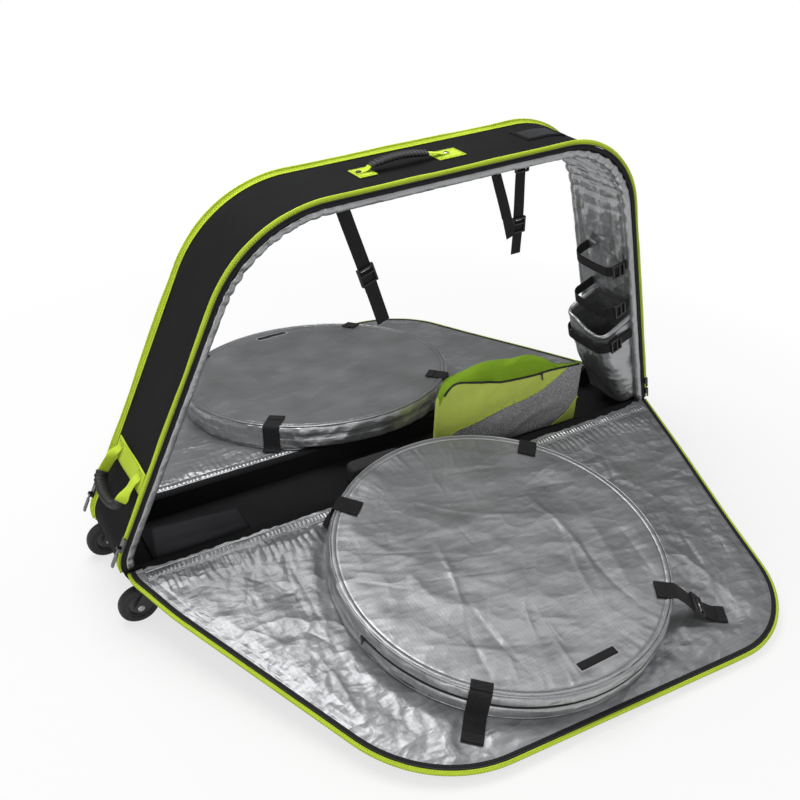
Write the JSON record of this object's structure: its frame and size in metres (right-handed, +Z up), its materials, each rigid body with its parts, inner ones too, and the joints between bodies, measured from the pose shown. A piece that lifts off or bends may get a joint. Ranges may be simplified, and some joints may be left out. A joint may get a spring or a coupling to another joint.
{
  "type": "bike travel case",
  "caption": "Soft padded bike travel case, open, with fold-down zipped side panels, round wheel bags, carry handles and transport wheels.",
  "frame": {"origin": "middle of the open case's footprint, on the floor", "axes": "+Z up, +X from the low wheeled end to the high end, +Y towards the back panel"},
  "size_m": [1.392, 1.584, 0.8418],
  "materials": {
    "shell_fabric": "black coarse-woven polyester",
    "flap_fabric": "black padded nylon",
    "lime_fabric": "lime green woven polyester",
    "silver_fabric": "silver coated reflective fabric",
    "closed_foam": "dark grey closed-cell foam",
    "zip_tape": "black zip tape with coil teeth",
    "black_webbing": "black woven webbing with moulded buckles",
    "black_plastic": "moulded, fine texture",
    "board_plastic": "ribbed sheet, covered in black cloth",
    "wheel_plastic": "moulded, fine texture",
    "hub_plastic": "moulded, grey",
    "tyre_rubber": "matte black",
    "handle_rubber": "ribbed, matte black",
    "chrome_metal": "bright plated",
    "clear_window": "clear flexible film over a dark card"
  },
  "bodies": {
    "case_body": {"gusset_shell": "shell_fabric", "gusset_foam": "closed_foam", "gusset_lining": "silver_fabric", "base_pan": "shell_fabric", "base_board": "board_plastic", "frame_support_block": "closed_foam", "padded_side_flap": "flap_fabric", "rear_skid": "black_plastic", "top_handle_patch_left": "lime_fabric", "top_handle_patch_right": "lime_fabric", "end_handle_band": "lime_fabric", "id_window_frame": "black_plastic", "id_window_pane": "clear_window", "seat_post_strap": "black_webbing", "frame_strap_left": "black_webbing", "frame_strap_right": "black_webbing", "fork_pocket": "silver_fabric", "upper_fork_strap": "black_webbing", "lower_fork_strap": "black_webbing", "front_gusset_zip": "zip_tape", "front_gusset_trim": "lime_fabric", "front_wheel_housing": "wheel_plastic", "front_wheel_axle": "chrome_metal", "back_gusset_zip": "zip_tape", "back_gusset_trim": "lime_fabric", "back_wheel_housing": "wheel_plastic", "back_wheel_axle": "chrome_metal"},
    "front_panel": {"front_panel_shell": "shell_fabric", "front_panel_foam": "closed_foam", "front_panel_lining": "silver_fabric", "front_panel_zip": "zip_tape", "front_panel_trim": "lime_fabric"},
    "front_wheel_bag": {"front_wheel_bag": "silver_fabric", "front_wheel_bag_zip": "zip_tape", "front_wheel_bag_strap_hinge_left": "black_webbing", "front_wheel_bag_strap_hinge_right": "black_webbing", "front_wheel_bag_strap_outer_left": "black_webbing", "front_wheel_bag_strap_outer_right": "black_webbing"},
    "front_wheel": {"front_wheel_hub": "hub_plastic", "front_wheel_tyre": "tyre_rubber"},
    "front_zip_slider": {"front_zip_slider": "chrome_metal"},
    "front_zip_pull": {"front_zip_pull": "chrome_metal"},
    "back_panel": {"back_panel_shell": "shell_fabric", "back_panel_foam": "closed_foam", "back_panel_lining": "silver_fabric", "back_panel_zip": "zip_tape", "back_panel_trim": "lime_fabric"},
    "back_wheel_bag": {"back_wheel_bag": "silver_fabric", "back_wheel_bag_zip": "zip_tape", "back_wheel_bag_strap_hinge_left": "black_webbing", "back_wheel_bag_strap_hinge_right": "black_webbing", "back_wheel_bag_strap_outer_left": "black_webbing", "back_wheel_bag_strap_outer_right": "black_webbing"},
    "back_wheel": {"back_wheel_hub": "hub_plastic", "back_wheel_tyre": "tyre_rubber"},
    "back_zip_slider": {"back_zip_slider": "chrome_metal"},
    "back_zip_pull": {"back_zip_pull": "chrome_metal"},
    "accessory_bag": {"accessory_bag": "lime_fabric"},
    "top_handle": {"top_handle_grip": "handle_rubber"},
    "end_handle": {"end_handle_grip": "handle_rubber"}
  },
  "joints": [
    {"name": "front_panel_fold", "type": "hinge", "parent": "case_body", "child": "front_panel", "pos_m": [-0.68803, -0.097, 0.115], "axis": [-1, 0, 0], "range_deg": [0, 97.83]},
    {"name": "back_panel_fold", "type": "hinge", "parent": "case_body", "child": "back_panel", "pos_m": [-0.68803, 0.097, 0.115], "axis": [1, 0, 0], "range_deg": [0, 97.83]},
    {"name": "front_wheel_bag_lift", "type": "slide", "parent": "front_panel", "child": "front_wheel_bag", "axis": [0, 0.1363, -0.9907], "range_m": [-0.12, 0]},
    {"name": "back_wheel_bag_lift", "type": "slide", "parent": "back_panel", "child": "back_wheel_bag", "axis": [0, -0.1363, -0.9907], "range_m": [-0.12, 0]},
    {"name": "accessory_bag_lift", "type": "slide", "parent": "case_body", "child": "accessory_bag", "axis": [0, 0, -1], "range_m": [-0.2, 0]},
    {"name": "front_wheel_spin", "type": "hinge", "parent": "case_body", "child": "front_wheel", "pos_m": [-0.65603, -0.111, 0.04], "axis": [0, 1, 0], "continuous": true},
    {"name": "back_wheel_spin", "type": "hinge", "parent": "case_body", "child": "back_wheel", "pos_m": [-0.65603, 0.111, 0.04], "axis": [0, 1, 0], "continuous": true},
    {"name": "top_handle_swing", "type": "hinge", "parent": "case_body", "child": "top_handle", "pos_m": [-0.01426, 0, 0.80463], "axis": [0.9981, 0, 0.061], "range_deg": [-60, 60]},
    {"name": "end_handle_swing", "type": "hinge", "parent": "case_body", "child": "end_handle", "pos_m": [-0.62051, 0, 0.28542], "axis": [0, 1, 0], "range_deg": [-10, 95]},
    {"name": "front_zip_slide", "type": "slide", "parent": "case_body", "child": "front_zip_slider", "axis": [0.421, 0, 0.9071], "range_m": [0, 0.46]},
    {"name": "front_pull_swing", "type": "hinge", "parent": "front_zip_slider", "child": "front_zip_pull", "pos_m": [-0.67486, -0.097, 0.1733], "axis": [0, 1, 0], "range_deg": [0, 110]},
    {"name": "back_zip_slide", "type": "slide", "parent": "case_body", "child": "back_zip_slider", "axis": [0.421, 0, 0.9071], "range_m": [0, 0.46]},
    {"name": "back_pull_swing", "type": "hinge", "parent": "back_zip_slider", "child": "back_zip_pull", "pos_m": [-0.67486, 0.097, 0.1733], "axis": [0, 1, 0], "range_deg": [0, 110]}
  ]
}
